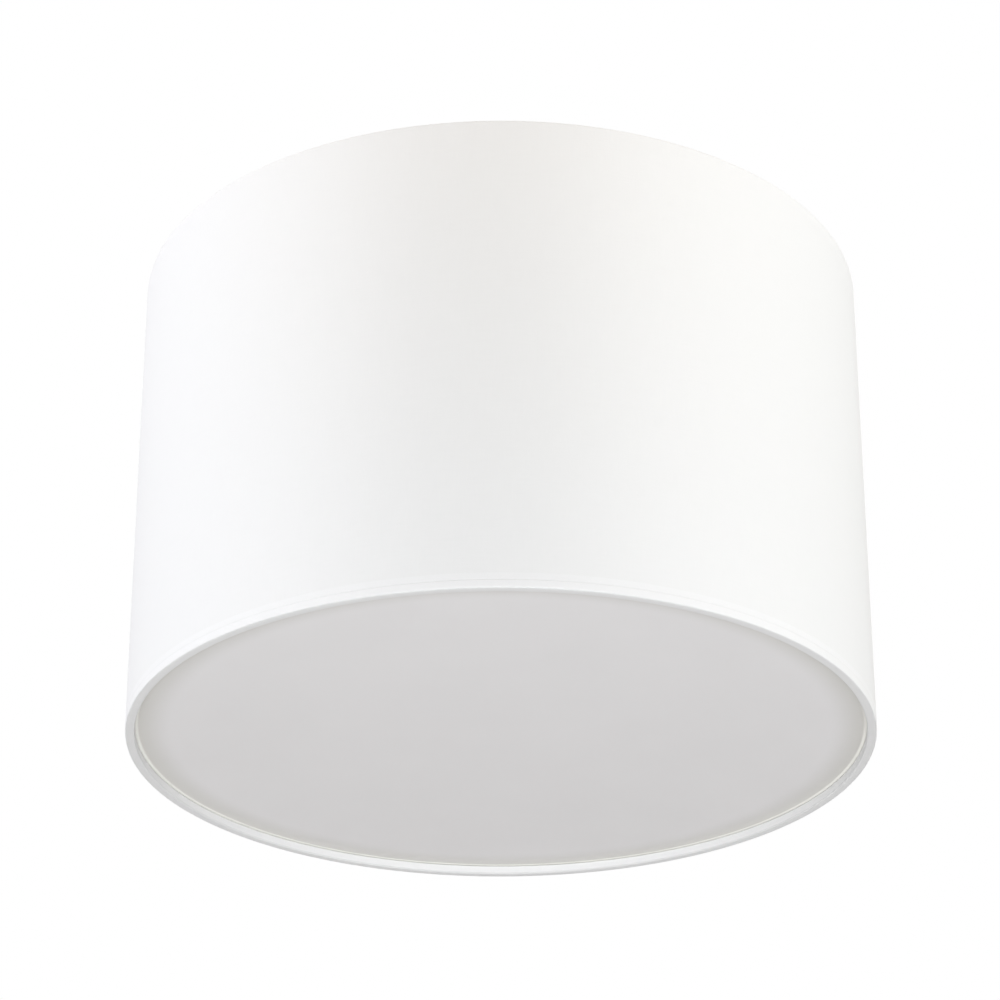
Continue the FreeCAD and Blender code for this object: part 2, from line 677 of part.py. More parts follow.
# The toothed washer and the ring lug of the earth.
def make_star_washer():
    body = new_body("earth_washer", EARTH_X, EARTH_Y, PAN_FLOOR)
    turned(body, "washer", [
        (SCREW_HOLE, "0"), ("star_diameter / 2", "0"),
        ("star_diameter / 2", "star_thick"), (SCREW_HOLE, "star_thick"),
    ])
    tooth = new_sketch(body, "tooth_gap", "XY_Plane")
    outline(tooth, [
        ("star_diameter / 2 - star_thick * 1.5", "star_thick / 2"), ("star_diameter", "star_thick / 2"),
        ("star_diameter", "-star_thick / 2"), ("star_diameter / 2 - star_thick * 1.5", "-star_thick / 2"),
    ])
    gap = cut_through(body, "tooth_cut", tooth)
    polar(body, "teeth", [gap], "star_teeth")
    return body


def make_lug():
    body = new_body("earth_lug", EARTH_X, EARTH_Y, f"{PAN_FLOOR} + star_thick", "lug_angle")
    turned(body, "eye", [
        (SCREW_HOLE, "0"), ("lug_diameter / 2", "0"),
        ("lug_diameter / 2", "lug_thick"), (SCREW_HOLE, "lug_thick"),
    ])
    tongue = new_sketch(body, "tongue_outline", "XY_Plane")
    start = "lug_diameter / 2 - lug_thick"
    outline(tongue, [
        (start, "lug_barrel / 2"), ("lug_reach - lug_barrel_length", "lug_barrel / 2"),
        ("lug_reach - lug_barrel_length", "-lug_barrel / 2"), (start, "-lug_barrel / 2"),
    ])
    pad(body, "tongue", tongue, "lug_thick")
    barrel = new_sketch(body, "barrel_section", "YZ_Plane", "lug_reach - lug_barrel_length")
    circle(barrel, "0", "lug_barrel / 2", "lug_barrel / 2")
    circle(barrel, "0", "lug_barrel / 2", "lead_diameter / 2")
    pad(body, "barrel", barrel, "lug_barrel_length")
    return body


def bent_path(points, radius=None):
    """Straight runs joined by tangent arcs. Without a radius each arc is as large as
    its two shorter half runs allow: 0.45 of the shorter run over the tangent of half the turn."""
    edges = []
    radii = []
    start = points[0]
    for before, corner, after in zip(points, points[1:], points[2:]):
        inward = corner - before
        outward = after - corner
        half_turn = inward.getAngle(outward) / 2
        allowed = 0.45 * min(inward.Length, outward.Length)
        bend = allowed / math.tan(half_turn) if radius is None else radius
        reach = bend * math.tan(half_turn)
        inward.normalize()
        outward.normalize()
        first = corner - inward * reach
        last = corner + outward * reach
        bisector = outward - inward
        bisector.normalize()
        middle = corner + bisector * (bend / math.cos(half_turn) - bend)
        edges.append(Part.LineSegment(start, first).toShape())
        edges.append(Part.Arc(first, middle, last).toShape())
        radii.append(bend)
        start = last
    edges.append(Part.LineSegment(start, points[-1]).toShape())
    return Part.Wire(edges), radii


def swept_round(label, points, diameter, radius=None):
    """A round wire along a bent path, as one solid."""
    path, radii = bent_path(points, radius)
    heading = points[1] - points[0]
    section = Part.Wire([Part.Circle(points[0], heading, diameter / 2).toShape()])
    solid = path.makePipeShell([section], True, False)
    expected = math.pi * diameter ** 2 / 4 * path.Length
    print(f"{label}: length {path.Length:.1f}, radii {[round(bend, 1) for bend in radii]}, "
          f"volume ratio {solid.Volume / expected:.4f}")
    wire = document.addObject("Part::Feature", label)
    wire.Label = label
    wire.Shape = solid
    return wire


# The leads: from the terminal tubes, up and over the nipples, down to the cores.
def make_lead(label, pole, side, shift):
    lead = value("lead_diameter")
    across = value(f"{pole} - block_offset")
    tube = value(TUBE_Z)
    top = value("-strap_drop - lead_diameter")
    clamped = value("clamp_spacing / 2 - lead_diameter")
    mouth = value("block_width / 2")
    holder = value("holder_spacing / 2")
    end = shift * (lead + value("lead_gap")) / 2
    rise = holder - mouth
    straight_share = 0.3
    climb_share = 0.65
    turn_share = 0.4
    points = [
        Vector(across, side * clamped, tube),
        Vector(across, side * (mouth + rise * straight_share), tube),
        Vector(across + (end - across) * turn_share, side * (mouth + rise * climb_share), top + lead / 2),
        Vector(end, side * holder, top),
        Vector(end, side * holder, value(f"{PAN_UNDER} - cap_height + core_flange + collar_length")),
    ]
    return swept_round(label, points, lead)


def make_earth_wire():
    angle = math.radians(value("lug_angle"))
    heading = Vector(math.cos(angle), math.sin(angle), 0)
    barrel = value(f"{PAN_FLOOR} + star_thick + lug_barrel / 2")
    screw = Vector(value(EARTH_X), value(EARTH_Y), barrel)
    across = value("-pole_pitch - block_offset")
    mouth = value("block_width / 2")
    tube = value(TUBE_Z)
    first = Vector(across, -value("clamp_spacing / 2 - lead_diameter"), tube)
    last = screw + heading * value("lug_reach - lug_barrel_length / 2")
    corner = screw + heading * value("lug_reach * 2")
    step = Vector(across, (corner.y - mouth) / 2 - value("lead_diameter"), tube)
    return swept_round("earth_wire", [first, step, corner, last], value("lead_diameter"))


# The nipples and the lampholders, one set on each side of the Y axis.
def make_lampholder(number, side):
    back = f"{side}holder_spacing / 2"
    place = ("0", back, PAN_UNDER)
    bore = "nipple_outer / 2 + thread_clear"
    outer = "holder_diameter / 2"
    inner = f"({outer} - holder_wall)"
    seam = "cap_height"
    nut_top = "(pan_sheet + nipple_nut_height)"

    nipple = new_body(f"nipple_{number}", *place)
    turned(nipple, "tube", [
        ("nipple_outer / 2", f"{nut_top} + nipple_rise"), ("nipple_outer / 2", "-cap_neck - holder_wall"),
        ("nipple_inner / 2", "-cap_neck - holder_wall"), ("nipple_inner / 2", f"{nut_top} + nipple_rise"),
    ])
    nut = make_nut(f"nipple_nut_{number}", "0", back, f"{PAN_UNDER} + {nut_top}",
                   "nipple_nut_flats", "nipple_nut_height", bore)

    cap = new_body(f"lampholder_cap_{number}", *place)
    slope = "(cap_neck + holder_wall * 2)"
    turned(cap, "shell", [
        (bore, "0"), ("cap_top / 2", "0"), ("cap_top / 2", "-cap_neck"), (outer, f"-{slope}"),
        (outer, f"-{seam}"), (inner, f"-{seam}"), (inner, f"-{slope} - holder_wall / 2"),
        ("cap_top / 2 - holder_wall", "-cap_neck - holder_wall"), (bore, "-cap_neck - holder_wall"),
    ])

    collar_top = f"({seam} - collar_length)"
    collar_outer = f"({inner} - thread_clear)"
    collar_inner = f"({collar_outer} - collar_wall)"
    lip = "(shell_outer / 2 + shell_sheet)"
    skirt = new_body(f"lampholder_skirt_{number}", *place)
    bottom = "holder_length"
    turned(skirt, "shell", [
        (lip, f"-{bottom}"), (f"{outer} - skirt_chamfer", f"-{bottom}"), (outer, f"skirt_chamfer - {bottom}"),
        (outer, f"-{seam}"), (collar_outer, f"-{seam}"), (collar_outer, f"-{collar_top}"),
        (collar_inner, f"-{collar_top}"), (collar_inner, f"lip_height - {bottom}"),
        (lip, f"lip_height - {bottom}"),
    ])

    core = new_body(f"lampholder_core_{number}", *place)
    flange_top = f"({collar_top} - core_flange)"
    turned(core, "insert", [
        ("0", f"-{flange_top}"), (f"{inner} - hole_clear", f"-{flange_top}"),
        (f"{inner} - hole_clear", f"-{collar_top}"), (f"{collar_inner} - hole_clear", f"-{collar_top}"),
        (f"{collar_inner} - hole_clear", "-core_drop"), ("0", "-core_drop"),
    ])
    holes = new_sketch(core, "lead_holes", "XY_Plane", f"-{flange_top}")
    offset = "(lead_diameter + lead_gap) / 2"
    circle(holes, offset, "0", "lead_diameter / 2 + thread_clear")
    circle(holes, f"-{offset}", "0", "lead_diameter / 2 + thread_clear")
    document.recompute()
    sink = add_feature(core, "Pocket", "lead_sinks", holes)
    bind(sink, "Length", "core_flange")

    shell = new_body(f"screw_shell_{number}", *place)
    wall = "(shell_outer / 2 - shell_sheet)"
    turned(shell, "tube", [
        ("shell_window / 2", "-core_drop"), ("shell_outer / 2", "-core_drop"),
        ("shell_outer / 2", "-core_drop - shell_length"), (wall, "-core_drop - shell_length"),
        (wall, "-core_drop - shell_sheet"), ("shell_window / 2", "-core_drop - shell_sheet"),
    ])
    add_ridge(shell, f"{wall} + shell_sheet / 2", "thread_minor / 2",
              "thread_pitch / 2 - thread_start", "shell_turns")

    contact = new_body(f"centre_contact_{number}", *place)
    strip = new_sketch(contact, "strip_profile")
    top = "-core_drop"
    low = "(-bulb_top + tongue_sheet)"
    outline(strip, [
        ("-tongue_half", top), ("tongue_half / 2", top), ("tongue_half / 2", f"{top} - tongue_sheet"),
        ("-tongue_half + tongue_sheet", f"{top} - tongue_sheet"), ("-tongue_half + tongue_sheet", low),
        ("tongue_half", low), ("tongue_half", f"{low} - tongue_sheet"),
        ("-tongue_half", f"{low} - tongue_sheet"),
    ])
    pad(contact, "strip", strip, "tongue_width", both_sides=True)
    return [nipple, nut, cap, skirt, core, shell, contact]


def add_ridge(body, base, crest, start, turns):
    """A helical ridge of the lamp thread, starting at a height on the body's axis."""
    profile = new_sketch(body, "ridge_profile")
    outline(profile, [
        (base, f"{start} - ridge_base / 2"), (crest, f"{start} - ridge_crest / 2"),
        (crest, f"{start} + ridge_crest / 2"), (base, f"{start} + ridge_base / 2"),
    ])
    document.recompute()
    ridge = add_feature(body, "AdditiveHelix", "ridge", profile)
    ridge.ReferenceAxis = (profile, ["V_Axis"])
    ridge.Mode = "pitch-turns-angle"
    bind(ridge, "Pitch", "thread_pitch")
    bind(ridge, "Turns", turns)
    return ridge


# One bulb: tip contact, insulator, threaded metal cap, housing, board and globe.
def make_bulb(number, side):
    place = ("0", f"{side}holder_spacing / 2", PAN_UNDER)
    tip_low = "(bulb_top + tip_height)"
    insulator_low = f"({tip_low} + insulator_height)"
    cap_low = "(bulb_top + cap_length)"
    tip = new_body(f"bulb_tip_{number}", *place)
    turned(tip, "button", [
        ("0", "-bulb_top"), ("tip_diameter / 4", "-bulb_top"),
        ("tip_diameter / 2", f"-{tip_low} + tip_height / 3"),
        ("tip_diameter / 2", f"-{tip_low}"), ("0", f"-{tip_low}"),
    ])
    insulator = new_body(f"bulb_insulator_{number}", *place)
    turned(insulator, "cone", [
        ("0", f"-{tip_low}"), ("tip_diameter / 2 + neck_step", f"-{tip_low}"),
        ("insulator_diameter / 2", f"-{insulator_low}"), ("0", f"-{insulator_low}"),
    ])
    cap = new_body(f"bulb_cap_{number}", *place)
    wall = "thread_root / 2"
    turned(cap, "tube", [
        ("tip_diameter / 2", f"-{insulator_low}"), ("insulator_diameter / 2", f"-{insulator_low}"),
        (wall, f"-{insulator_low} - shoulder_drop"), (wall, f"-{cap_low}"),
        (f"{wall} - cap_sheet", f"-{cap_low}"),
        (f"{wall} - cap_sheet", f"-{insulator_low} - shoulder_drop - cap_sheet"),
        ("insulator_diameter / 2 - cap_sheet", f"-{insulator_low} - cap_sheet"),
        ("tip_diameter / 2", f"-{insulator_low} - cap_sheet"),
    ])
    add_ridge(cap, f"{wall} - cap_sheet / 2", "thread_crest / 2", "-thread_start", "cap_turns")

    housing = new_body(f"bulb_housing_{number}", *place)
    neck = f"({wall} - cap_sheet - neck_gap)"
    rim = "bulb_diameter / 2"
    rim_low = f"({cap_low} + housing_length)"
    flare_low = f"({cap_low} + housing_flare)"
    turned(housing, "shell", [
        (neck, f"neck_length - {cap_low}"), (neck, f"-{cap_low}"), (f"{wall} + neck_step", f"-{cap_low}"),
        ("flare_diameter / 2", f"-{flare_low}"), (rim, f"-{rim_low}"),
        (f"{rim} - housing_wall", f"-{rim_low}"),
        ("flare_diameter / 2 - housing_wall", f"-{flare_low}"),
        (f"{neck} - housing_wall - neck_step", f"-{cap_low}"),
        (f"{neck} - housing_wall", f"neck_length - {cap_low}"),
    ])
    board = new_body(f"bulb_led_board_{number}", *place)
    slope = f"({rim} - flare_diameter / 2) / (housing_length - housing_flare)"
    board_radius = f"({rim} - housing_wall - board_thick * {slope} - board_clear)"
    turned(board, "disc", [
        ("0", f"-{rim_low}"), (board_radius, f"-{rim_low}"),
        (board_radius, f"board_thick - {rim_low}"), ("0", f"board_thick - {rim_low}"),
    ])
    globe = new_body(f"bulb_globe_{number}", *place)
    make_globe(globe, rim, rim_low)
    return tip, insulator, cap, housing, board, globe


def make_globe(body, rim, rim_low):
    """A short straight collar under the rim and a half ball, hollowed by the same shape inside."""
    inner = f"({rim} - globe_wall)"
    straight = f"(globe_height - {rim})"
    turned(body, "collar", [(rim, f"-{rim_low}"), (rim, f"-{rim_low} - {straight}"),
                            ("0", f"-{rim_low} - {straight}"), ("0", f"-{rim_low}")])
    ball = new_sketch(body, "ball_arc")
    quarter_disc(ball, rim, f"-{rim_low} - {straight}")
    revolve(body, "ball", ball)
    hollow = new_sketch(body, "hollow_outline")
    outline(hollow, [(inner, f"-{rim_low}"), (inner, f"-{rim_low} - {straight}"),
                     ("0", f"-{rim_low} - {straight}"), ("0", f"-{rim_low}")])
    revolve(body, "hollow", hollow, cut=True)
    hollow_ball = new_sketch(body, "hollow_arc")
    quarter_disc(hollow_ball, inner, f"-{rim_low} - {straight}")
    revolve(body, "hollow_end", hollow_ball, cut=True)


# The wire rings inside the two hems.
def make_wire_ring(label, up):
    body = new_body(label, up=up)
    section = new_sketch(body, "wire_section")
    circle(section, RING_RADIUS, "0", "ring_wire / 2")
    revolve(body, "ring", section)
    return body


# The keyhole ring. Its studs rest at the stud angles; the wide holes lie one turn back.
def make_keyhole_ring():
    body = new_body("keyhole_ring", up=PAN_UNDER, turn="stud_angle")
    turned(body, "plate", [
        (PLATE_INNER, "0"), (PLATE_OUTER, "0"),
        (PLATE_OUTER, "-plate_thick"), (PLATE_INNER, "-plate_thick"),
    ])
    slot = new_sketch(body, "slot_section")
    half = "(screw_four / 2 + keyhole_clear)"
    middle = STUD_RADIUS
    outline(slot, [
        (f"{middle} - {half}", "plate_thick"), (f"{middle} + {half}", "plate_thick"),
        (f"{middle} + {half}", "-plate_thick * 2"), (f"{middle} - {half}", "-plate_thick * 2"),
    ])
    neck = revolve(body, "slot_cut", slot, cut=True, angle="keyhole_turn", clockwise=True)
    ends = new_sketch(body, "end_circles", "XY_Plane")
    circle(ends, middle, "0", half)
    circle(ends, f"{middle} * cos(keyhole_turn)", f"-{middle} * sin(keyhole_turn)",
           KEYHOLE)
    wide = cut_through(body, "end_cuts", ends)
    polar(body, "keyholes", [neck, wide], "3")
    return body


# The spokes: from under the keyhole ring, up and out to the top ring, ends coped to it.
def make_spokes(top_ring, keyhole_ring):
    radius = value("spoke_wire / 2")
    under = value(f"{PLATE_UNDER} + spoke_flat") - radius
    top = value(TOP_RING_Z)
    inside = value(f"{PLATE_OUTER} - spoke_inset")
    outside = value(RING_RADIUS)
    turn_in = value("pan_diameter / 2") + value("spoke_run")
    turn_out = outside - value("ring_wire / 2 + spoke_run")
    spokes = []
    for step in range(3):
        spin = FreeCAD.Rotation(Vector(0, 0, 1), 120 * step)
        stops = [(inside, under), (turn_in, under), (turn_out, top), (outside, top)]
        points = [spin.multVec(Vector(out, 0, up)) for out, up in stops]
        wire = swept_round(f"spoke_wire_{step + 1}", points, 2 * radius, value("spoke_bend"))
        coped = document.addObject("Part::Cut", f"spoke_coped_{step + 1}")
        coped.Base = wire
        coped.Tool = top_ring
        flat = document.addObject("Part::Cut", f"spoke_{step + 1}")
        flat.Base = coped
        flat.Tool = keyhole_ring
        spokes.append(flat)
    return grouped("frame_spokes", spokes)


# The lining: a stiff sheet bent to a tube behind the fabric.
def make_lining():
    body = new_body("shade_lining")
    outer = f"({DRUM_RADIUS} - cloth_thick)"
    inner = f"({outer} - lining_thick)"
    high = f"{SHADE_TOP} - {HEM_ROLL} * 2 - hem_clear"
    low = f"{SHADE_BOTTOM} + {HEM_ROLL} * 2 + hem_clear"
    turned(body, "tube", [(inner, low), (outer, low), (outer, high), (inner, high)])
    return body


# The fabric: a tube whose two edges are rolled inwards round the wire rings,
# with a notch in the top roll for each spoke.
def make_cover():
    body = new_body("shade_cover")
    sketch = new_sketch(body, "cloth_section")
    outer = value(DRUM_RADIUS)
    inner = value(f"{DRUM_RADIUS} - cloth_thick")
    roll = value(HEM_ROLL)
    ring = value(RING_RADIUS)
    high = value(TOP_RING_Z)
    low = value(BOTTOM_RING_Z)
    meet = math.acos((inner - ring) / roll)
    rise = roll * math.sin(meet)
    up_axis = Vector(0, 0, 1)
    top_curve = Part.Circle(Vector(ring, high, 0), up_axis, roll)
    low_curve = Part.Circle(Vector(ring, low, 0), up_axis, roll)
    turn = 2 * math.pi
    sketch.addGeometry(Part.LineSegment(Vector(outer, low, 0), Vector(outer, high, 0)), False)
    sketch.addGeometry(Part.ArcOfCircle(top_curve, 0, turn - meet), False)
    sketch.addGeometry(Part.LineSegment(Vector(inner, high - rise, 0), Vector(inner, low + rise, 0)), False)
    sketch.addGeometry(Part.ArcOfCircle(low_curve, meet, turn), False)
    for join in ((0, 2, 1, 1), (1, 2, 2, 1), (2, 2, 3, 1), (3, 2, 0, 1)):
        sketch.addConstraint(Sketcher.Constraint("Coincident", *join))
    fix_point(sketch, 0, 1, DRUM_RADIUS, BOTTOM_RING_Z)
    fix_point(sketch, 0, 2, DRUM_RADIUS, TOP_RING_Z)
    fix_point(sketch, 1, 3, RING_RADIUS, TOP_RING_Z)
    fix_point(sketch, 3, 3, RING_RADIUS, BOTTOM_RING_Z)
    fix_coordinate(sketch, "DistanceX", 2, 1, f"{DRUM_RADIUS} - cloth_thick")
    fix_coordinate(sketch, "DistanceX", 2, 2, f"{DRUM_RADIUS} - cloth_thick")
    circle(sketch, RING_RADIUS, TOP_RING_Z, "ring_wire / 2")
    circle(sketch, RING_RADIUS, BOTTOM_RING_Z, "ring_wire / 2")
    revolve(body, "cloth", sketch)
    notch = new_sketch(body, "notch_outline", "XY_Plane", TOP_RING_Z)
    half = "(spoke_wire / 2 + notch_clear)"
    deep = f"{RING_RADIUS} - {HEM_ROLL} * 2"
    outline(notch, [(deep, half), (RING_RADIUS, half), (RING_RADIUS, f"-{half}"), (deep, f"-{half}")])
    document.recompute()
    notch_cut = add_feature(body, "Pocket", "notch", notch)
    notch_cut.SideType = "Symmetric"
    bind(notch_cut, "Length", f"{HEM_ROLL} * 3")
    polar(body, "notches", [notch_cut], "3")
    return body


# The opal disc that lies on the bottom hem.
def make_diffuser():
    up = f"{SHADE_BOTTOM} + {HEM_ROLL} * 2 + seat_gap"
    body = new_body("diffuser", up=up)
    rim = f"({DRUM_RADIUS} - cloth_thick - lining_thick - diffuser_clear)"
    turned(body, "disc", [("0", "0"), (rim, "0"), (rim, "diffuser_thick"), ("0", "diffuser_thick")])

    def rim_edge(edge):
        return isinstance(edge.Curve, Part.Circle) and edge.Curve.Radius > value(rim) - 0.01

    round_edges(body, "rounded_rim", "diffuser_round", rim_edge)
    return body


poles = ("-pole_pitch", "0", "pole_pitch")
live_pole = poles[2]
neutral_pole = poles[1]
sides = ("", "-")
hanging = [f"{side}{HANG_X}" for side in sides]

nodes = [make_crossbar(), make_pan()]
nodes.append(grouped("hanging_screws", [
    make_screw(f"hanging_screw_{index}", across, "0", "-strap_drop", "screw_four", "hanging_length",
               "head_width", "head_height")
    for index, across in enumerate(hanging, start=1)
]))
nodes.append(grouped("hanging_lock_nuts", [
    make_nut(f"hanging_lock_nut_{index}", across, "0", STRAP_UNDER, "nut_flats", "nut_height", NUT_BORE)
    for index, across in enumerate(hanging, start=1)
]))
nodes.append(grouped("acorn_nuts", [
    make_acorn(f"acorn_nut_{index}", across) for index, across in enumerate(hanging, start=1)
]))
nodes.append(grouped("shade_studs", [
    make_stud(f"shade_stud_{step + 1}", *stud_place(step)) for step in range(3)
]))
nodes.append(make_terminal_block())
nodes.append(grouped("terminal_tubes", [
    make_terminal_tube(number, pole) for number, pole in enumerate(poles, start=1)
]))
nodes.append(grouped("terminal_clamp_screws", [
    make_clamp_screw(number, pole, side)
    for number, (pole, side) in enumerate(((pole, side) for pole in poles for side in sides), start=1)
]))
nodes.append(make_screw("terminal_fixing_screw", "pole_pitch / 2 - block_offset", "0",
                        f"{PAN_FLOOR} + block_height", "screw_three", "fixing_length",
                        "fixing_head", "fixing_head_height"))
nodes.append(make_screw("earth_screw", EARTH_X, EARTH_Y,
                        f"{PAN_FLOOR} + star_thick + lug_thick", "screw_four", "earth_length",
                        "head_width", "head_height"))
nodes.append(make_nut("earth_nut", EARTH_X, EARTH_Y, PAN_UNDER,
                      "nut_flats", "nut_height", NUT_BORE))
nodes.append(make_star_washer())
nodes.append(make_lug())
nodes.append(make_earth_wire())
for number, (side, sign) in enumerate((("-", -1), ("", 1)), start=1):
    nodes.append(make_lead(f"live_wire_{number}", live_pole, sign, 1))
    nodes.append(make_lead(f"neutral_wire_{number}", neutral_pole, sign, -1))
    nodes.extend(make_lampholder(number, side))
    nodes.extend(make_bulb(number, side))
for step in range(3):
    nodes.append(make_thumb_washer(step))
    nodes.append(make_thumb_nut(step))
upper_ring = make_wire_ring("top_wire_ring", TOP_RING_Z)
keyhole_plate = make_keyhole_ring()
nodes.extend([upper_ring, make_wire_ring("bottom_wire_ring", BOTTOM_RING_Z), keyhole_plate])
nodes.append(make_spokes(upper_ring, keyhole_plate))
nodes.extend([make_lining(), make_cover(), make_diffuser()])
document.recompute()

for thing in document.Objects:
    if "Invalid" in thing.State or "Error" in thing.State:
        raise ValueError(f"{thing.Label} failed: {thing.State}")
for node in nodes:
    if node.Shape.isNull() or not node.Shape.isValid():
        raise ValueError(f"{node.Label} has no valid shape")

os.makedirs("parts", exist_ok=True)
for node in nodes:
    node.Shape.exportStep(f"parts/{node.Label}.step")
    print(f"{node.Label}: {len(node.Shape.Solids)} solids, {node.Shape.Volume / 1000:.3f} cm3")
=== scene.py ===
import bmesh
import bpy
import math
from mathutils import Matrix, Vector


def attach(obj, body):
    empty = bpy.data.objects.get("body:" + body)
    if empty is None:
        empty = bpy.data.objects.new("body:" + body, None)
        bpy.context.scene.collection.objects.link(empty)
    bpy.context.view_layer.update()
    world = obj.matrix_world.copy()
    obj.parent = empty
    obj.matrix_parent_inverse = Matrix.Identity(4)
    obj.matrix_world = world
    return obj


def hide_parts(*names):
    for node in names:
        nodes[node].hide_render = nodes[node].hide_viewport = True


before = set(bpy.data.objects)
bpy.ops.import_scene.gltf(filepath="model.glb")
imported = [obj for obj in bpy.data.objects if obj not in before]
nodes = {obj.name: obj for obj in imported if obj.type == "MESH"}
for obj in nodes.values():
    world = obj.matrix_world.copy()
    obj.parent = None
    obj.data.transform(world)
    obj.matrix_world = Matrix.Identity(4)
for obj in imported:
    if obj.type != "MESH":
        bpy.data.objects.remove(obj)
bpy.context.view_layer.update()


# Crossbar, hanging screws, lock nuts and shade studs: pressed and turned steel with bright
# zinc plate. The plate is slightly blue, cloudy where it grew unevenly, and carries fine
# rubbing scratches from the tumbling drum.
class Signal:
    """One output of a shader node, on which Python's operators build the maths."""

    def __init__(self, finish, socket):
        self.finish = finish
        self.socket = socket

    def math(self, operation, first, *others):
        return self.finish.node("Math", {"operation": operation}, dict(enumerate((first, *others))))

    def __add__(self, other):
        return self.math("ADD", self, other)

    __radd__ = __add__

    def __sub__(self, other):
        return self.math("SUBTRACT", self, other)

    def __rsub__(self, other):
        return self.math("SUBTRACT", other, self)

    def __mul__(self, other):
        return self.math("MULTIPLY", self, other)

    __rmul__ = __mul__

    def __truediv__(self, other):
        return self.math("DIVIDE", self, other)

    def __abs__(self):
        return self.math("ABSOLUTE", self)

    def sine(self):
        return self.math("SINE", self)

    def step(self, start, end):
        """0 below start and 1 above end, smooth between them; falls if end is below start."""
        rising = end > start
        low, high = (start, end) if rising else (end, start)
        spread = (self - low) / (high - low)
        clamped = self.finish.node("Clamp", {}, {"Value": spread})
        smooth = clamped * clamped * (3 - 2 * clamped)
        return smooth if rising else 1 - smooth


class Finish:
    """A material in the making. node() adds a shader node, surface() sets the shader."""

    def __init__(self, name, **plain):
        self.material = bpy.data.materials.new(name)
        self.material.use_nodes = True
        self.tree = self.material.node_tree
        self.shader = self.tree.nodes["Principled BSDF"]
        place = self.node("TexCoord", {}, {}, "Object")
        self.place = place
        self.x, self.y, self.z = self.split(place)
        for socket, value in plain.items():
            self.shader.inputs[socket.replace("_", " ")].default_value = value

    def node(self, kind, settings, sockets, output=0):
        made = self.tree.nodes.new(f"ShaderNode{kind}")
        for setting, value in settings.items():
            setattr(made, setting, value)
        for socket, value in sockets.items():
            self.feed(made.inputs[socket], value)
        return Signal(self, made.outputs[output])

    def feed(self, socket, value):
        if isinstance(value, Signal):
            self.tree.links.new(value.socket, socket)
        else:
            socket.default_value = value

    def split(self, vector):
        parts = self.node("SeparateXYZ", {}, {"Vector": vector})
        return [Signal(self, output) for output in parts.socket.node.outputs]

    def join(self, x, y, z):
        return self.node("CombineXYZ", {}, {"X": x, "Y": y, "Z": z})

    def noise(self, scale, detail=2.0, rough=0.5, place=None):
        sockets = {"Vector": place or self.place, "Scale": scale, "Detail": detail, "Roughness": rough}
        return self.node("TexNoise", {}, sockets, "Fac")

    def stretched(self, x, y, z, place=None):
        """Object coordinates, or those in place, scaled apart along each axis."""
        return self.node("VectorMath", {"operation": "MULTIPLY"}, {0: place or self.place, 1: (x, y, z)})

    def tint(self, share, low, high):
        """A colour that goes from low to high with share."""
        colours = {0: share, 6: low if isinstance(low, Signal) else (*low, 1), 7: (*high, 1)}
        return self.node("Mix", {"data_type": "RGBA"}, colours, 2)

    def relief(self, height, distance, strength=1.0):
        sockets = {"Height": height, "Distance": distance, "Strength": strength}
        bump = self.node("Bump", {}, sockets, "Normal")
        self.feed(self.shader.inputs["Normal"], bump)

    def surface(self, **sockets):
        for socket, value in sockets.items():
            self.feed(self.shader.inputs[socket.replace("_", " ")], value)

    def coat(self, *names):
        for name in names:
            node = nodes[name]
            for slot in node.material_slots:
                slot.material = self.material
            if not node.material_slots:
                node.data.materials.append(self.material)


zinc = Finish("bright_zinc_plate", Metallic=1.0)
cloud = zinc.noise(45, 3)
scratches = zinc.noise(1, 3, 0.7, zinc.stretched(260, 2600, 900))
blue_plate = zinc.tint(cloud.step(0.35, 0.7), (0.60, 0.63, 0.67), (0.70, 0.70, 0.69))
zinc.surface(Base_Color=blue_plate, Roughness=0.24 + 0.16 * cloud + 0.08 * scratches)
zinc.relief(scratches, 0.00002, 0.35)
zinc.coat("crossbar", "hanging_screws", "hanging_lock_nuts", "shade_studs")


# Ceiling pan: a shallow dish pressed from 1 mm steel and powder coated white. The coat
# flows as it bakes, which leaves fine orange peel and a soft gloss.
powder = Finish("white_powder_coat", Coat_Roughness=0.25, Coat_Weight=0.15)
peel = powder.noise(520, 2)
speck = powder.noise(70, 4)
powder_tone = powder.tint(speck.step(0.3, 0.75), (0.83, 0.83, 0.82), (0.87, 0.87, 0.86))
powder.surface(Base_Color=powder_tone, Roughness=0.36 + 0.12 * peel)
powder.relief(peel, 0.00012, 0.5)
powder.coat("ceiling_pan")


# Cap nuts, thumb nuts and washers: turned brass, polished and nickel plated. The lathe
# leaves rings, and the plate has a warm cast.
nickel = Finish("polished_nickel_plate", Metallic=1.0)
turning = (nickel.z * 9000).sine()
handling = nickel.noise(160, 3)
warm_plate = nickel.tint(handling, (0.66, 0.64, 0.60), (0.76, 0.74, 0.70))
nickel.surface(Base_Color=warm_plate, Roughness=0.13 + 0.14 * handling)
nickel.relief(turning * 0.5 + handling, 0.00001, 0.5)
nickel.coat("acorn_nuts", *[f"{part}_{n}" for part in ("thumb_nut", "thumb_washer") for n in (1, 2, 3)])


# Terminal block: injection moulded nylon, milky, with brass tubes and zinc plated clamping
# screws. Nylon is dull where the mould was eroded, and slightly yellow where it is thick.
nylon = Finish("milky_nylon", Subsurface_Weight=0.25, Subsurface_Scale=0.003)
grain = nylon.noise(900, 2)
flow = nylon.noise(110, 2)
nylon_tone = nylon.tint(flow.step(0.3, 0.7), (0.80, 0.80, 0.74), (0.84, 0.84, 0.80))
nylon.surface(Base_Color=nylon_tone, Roughness=0.42 + 0.15 * grain)
nylon.relief(grain, 0.00006, 0.5)
nylon.coat("terminal_block")


def pair(*names):
    return [f"{name}_{side}" for name in names for side in (1, 2)]


